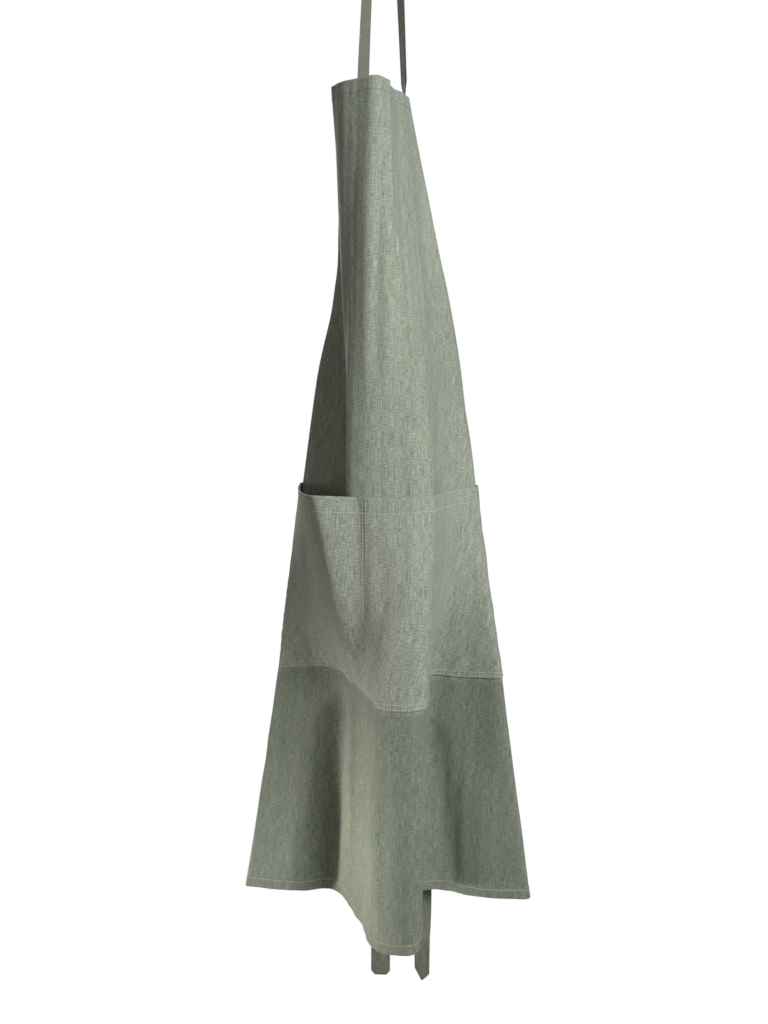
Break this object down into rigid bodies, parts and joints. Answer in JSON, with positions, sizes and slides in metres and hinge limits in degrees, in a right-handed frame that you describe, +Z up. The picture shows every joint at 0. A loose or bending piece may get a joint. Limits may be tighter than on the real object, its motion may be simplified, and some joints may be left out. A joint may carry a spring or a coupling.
{
  "type": "bib apron on a wall hook",
  "caption": "Linen bib apron with a wide divided front pocket and waist ties, hanging in soft folds by its neck strap from a single-arm wall hook.",
  "frame": {"origin": "centre of the hook plate's back face, on the wall plane", "axes": "+Y into the wall, +Z up, +X to the right of someone facing the wall; the apron hangs in front of the wall on the -Y side"},
  "size_m": [0.3159, 0.1923, 1.294],
  "materials": {
    "hook_steel": "satin brushed steel",
    "screw_steel": "plain steel wood screws",
    "linen": "washed plain-weave linen, sage grey-green, with light slubs and soft creases",
    "strap_linen": "the same linen folded double and edge-stitched into flat tape"
  },
  "bodies": {
    "hook": {"hook_plate": "hook_steel", "hook_arm": "hook_steel", "upper_screw": "screw_steel", "lower_screw": "screw_steel"},
    "apron": {"neck_strap": "strap_linen", "body_panel": "linen", "pocket_panel": "linen"},
    "left_tie": {"left_tie": "strap_linen"},
    "right_tie": {"right_tie": "strap_linen"}
  },
  "joints": [
    {"name": "apron_swing", "type": "hinge", "parent": "hook", "child": "apron", "pos_m": [0, -0.044, 0], "axis": [0, 1, 0], "range_deg": [-15, 15]},
    {"name": "left_tie_swing", "type": "hinge", "parent": "apron", "child": "left_tie", "pos_m": [-0.004, -0.009, -0.598], "axis": [0, 1, 0], "range_deg": [-20, 80]},
    {"name": "right_tie_swing", "type": "hinge", "parent": "apron", "child": "right_tie", "pos_m": [0.044, -0.009, -0.598], "axis": [0, 1, 0], "range_deg": [-80, 20]}
  ]
}
